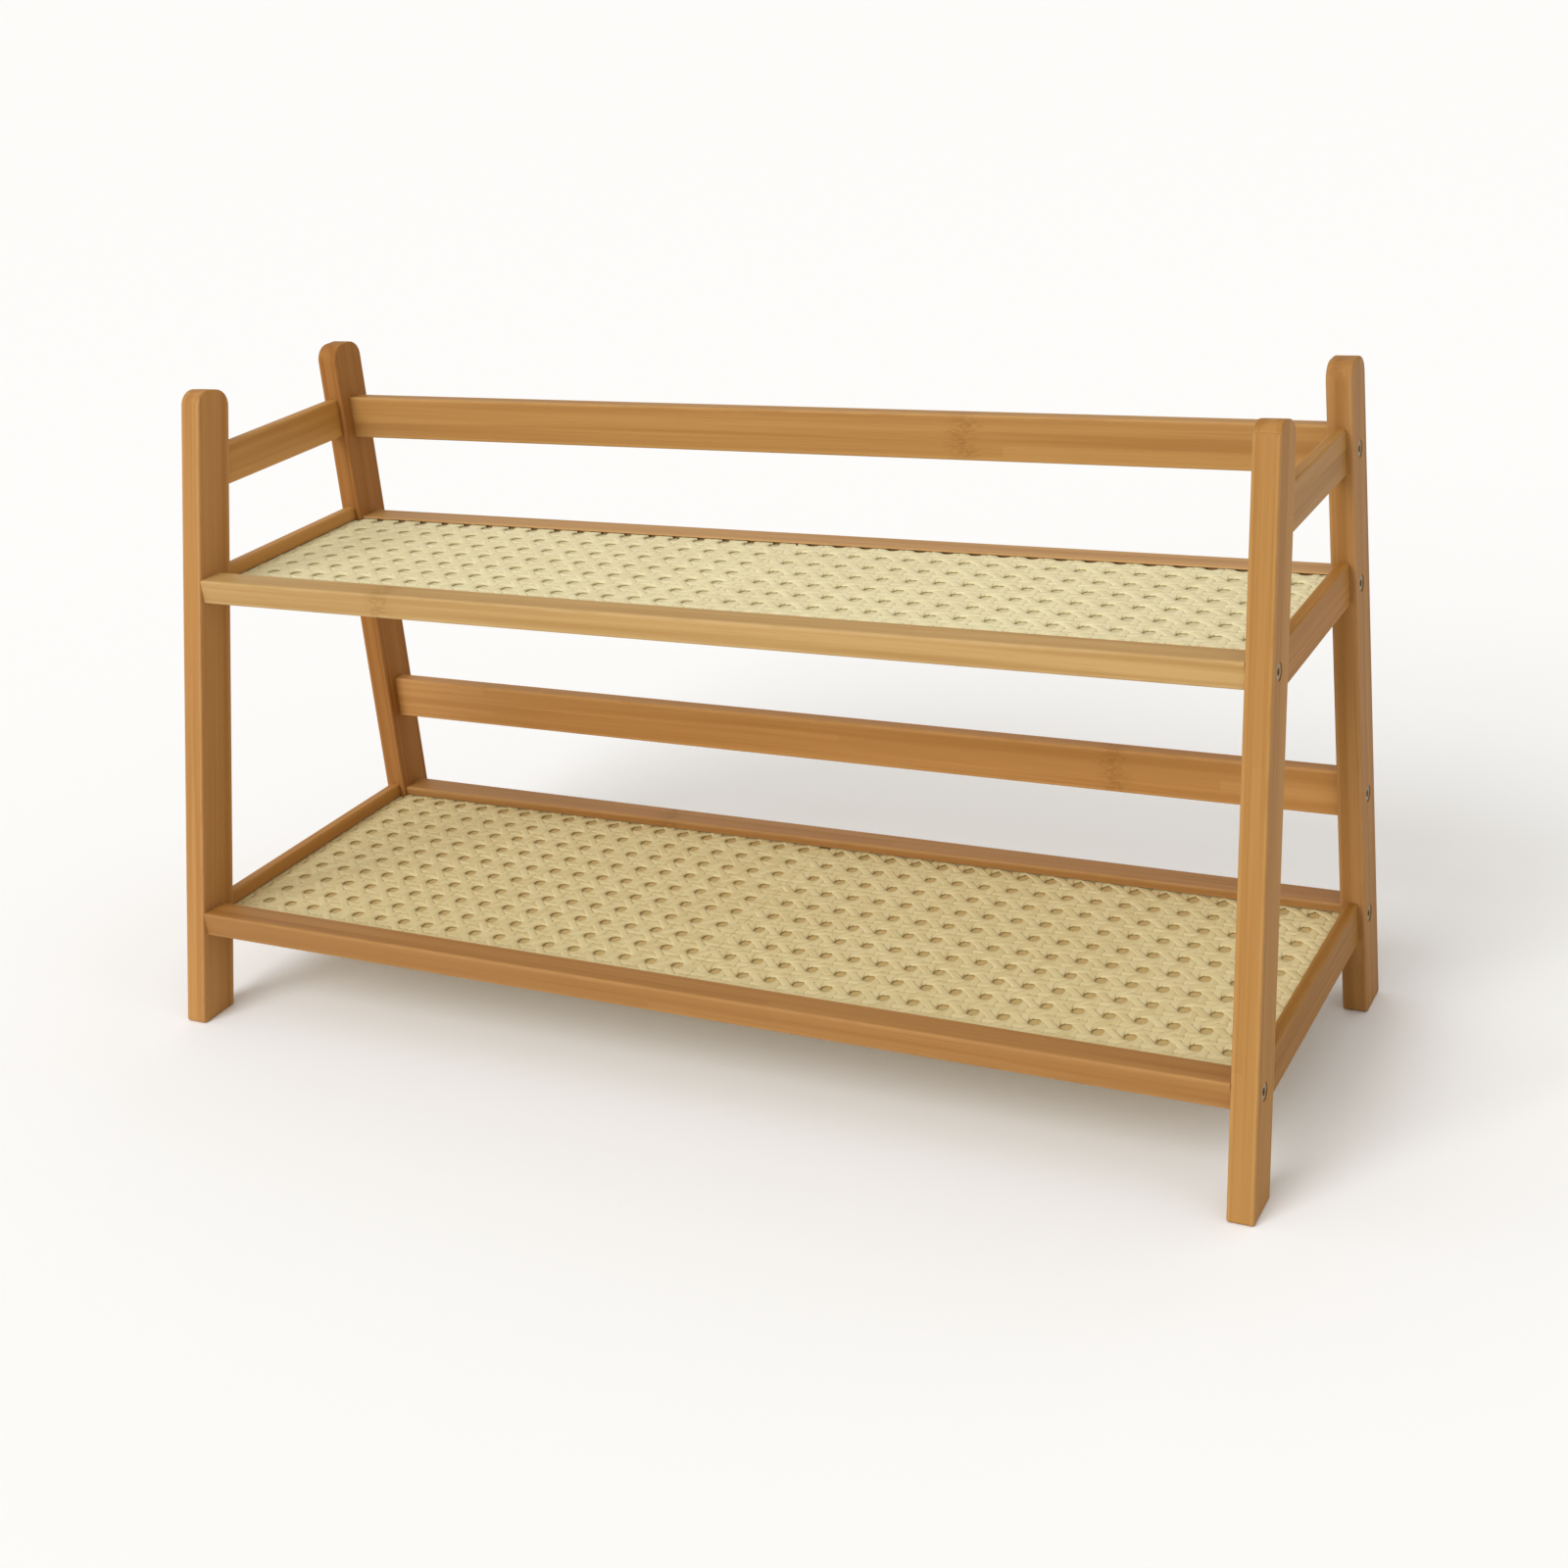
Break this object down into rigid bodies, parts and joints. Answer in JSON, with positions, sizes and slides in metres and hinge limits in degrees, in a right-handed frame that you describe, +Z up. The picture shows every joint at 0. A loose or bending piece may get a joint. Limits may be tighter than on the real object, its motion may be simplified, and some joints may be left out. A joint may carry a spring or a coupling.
{
  "type": "entryway shoe rack",
  "caption": "Low bamboo entryway rack with leaning front legs, open woven webbing shelves held between grooved bars, side rails and plain back rails.",
  "frame": {"origin": "on the floor, at the middle of the length and of the depth", "axes": "+X along the length to the right as seen from the front, +Y to the back, +Z up"},
  "size_m": [0.701, 0.2555, 0.3905],
  "materials": {
    "bamboo": "clear-lacquered laminated bamboo, satin",
    "webbing": "woven cane-coloured strands, matte",
    "bolt_steel": "dark bronze-plated steel",
    "nut_steel": "zinc-plated steel",
    "dowel_wood": "plain hardwood dowel",
    "backing": "plain tan fibre sheet, matte"
  },
  "bodies": {
    "root": {"left_front_leg": "bamboo", "left_back_leg": "bamboo", "left_top_side_rail": "bamboo", "left_upper_shelf_side_bar": "bamboo", "left_lower_shelf_side_bar": "bamboo", "right_front_leg": "bamboo", "right_back_leg": "bamboo", "right_top_side_rail": "bamboo", "right_upper_shelf_side_bar": "bamboo", "right_lower_shelf_side_bar": "bamboo", "upper_shelf_front_bar": "bamboo", "upper_shelf_back_bar": "bamboo", "upper_shelf_middle_slat": "bamboo", "lower_shelf_front_bar": "bamboo", "lower_shelf_back_bar": "bamboo", "lower_shelf_middle_slat": "bamboo", "top_back_rail": "bamboo", "lower_back_rail": "bamboo", "upper_webbing_left": "webbing", "upper_webbing_right": "webbing", "lower_webbing_left": "webbing", "lower_webbing_right": "webbing", "left_bolts": "bolt_steel", "left_barrel_nuts": "nut_steel", "left_side_frame_dowels": "dowel_wood", "left_locating_dowels": "dowel_wood", "left_slat_dowels": "dowel_wood", "right_bolts": "bolt_steel", "right_barrel_nuts": "nut_steel", "right_side_frame_dowels": "dowel_wood", "right_locating_dowels": "dowel_wood", "right_slat_dowels": "dowel_wood", "upper_backing_sheet": "backing", "lower_backing_sheet": "backing"}
  },
  "joints": []
}
